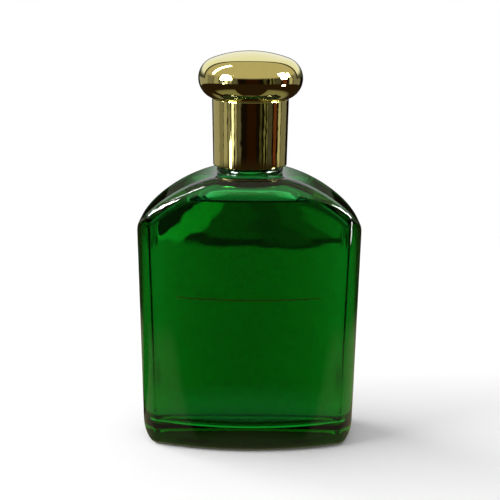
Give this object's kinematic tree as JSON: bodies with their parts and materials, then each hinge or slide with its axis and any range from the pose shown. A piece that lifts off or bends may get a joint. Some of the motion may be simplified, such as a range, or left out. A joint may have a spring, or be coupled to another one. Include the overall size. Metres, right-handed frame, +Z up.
{
  "type": "aftershave bottle",
  "caption": "Green glass flask of aftershave with arched shoulders and a gold screw cap under a mushroom-shaped knob.",
  "frame": {"origin": "centre of the base, on the surface that the bottle stands on", "axes": "+X across the wide face, +Y towards the back, +Z up the neck, the longest way"},
  "size_m": [0.07, 0.034, 0.1231],
  "materials": {
    "green_glass": "smooth pressed glass, tinted green, polished",
    "green_liquid": "clear green aftershave splash",
    "natural_polyethylene": "natural low-density polyethylene, slightly milky",
    "white_foam_liner": "white foamed polyethylene sheet",
    "natural_polypropylene": "moulded polypropylene, smooth",
    "gold_plating": "mirror-bright pale gold metallising under clear lacquer, on moulded plastic"
  },
  "bodies": {
    "bottle": {"glass_bottle": "green_glass", "aftershave": "green_liquid", "orifice_reducer": "natural_polyethylene"},
    "seal": {"sealing_disc": "white_foam_liner"},
    "cap": {"inner_closure": "natural_polypropylene", "cap_sleeve": "gold_plating", "cap_head": "gold_plating"}
  },
  "joints": [
    {"name": "cap_rise", "type": "slide", "parent": "bottle", "child": "seal", "axis": [0, 0, 1], "range_m": [0, 0.01588]},
    {"name": "cap_turn", "type": "hinge", "parent": "seal", "child": "cap", "pos_m": [0, 0, 0.0886], "axis": [0, 0, 1], "range_deg": [0, 1800]}
  ],
  "couplings": [
    {"joint": "cap_rise", "follows": "cap_turn", "m_per_rad": 0.00050532}
  ]
}
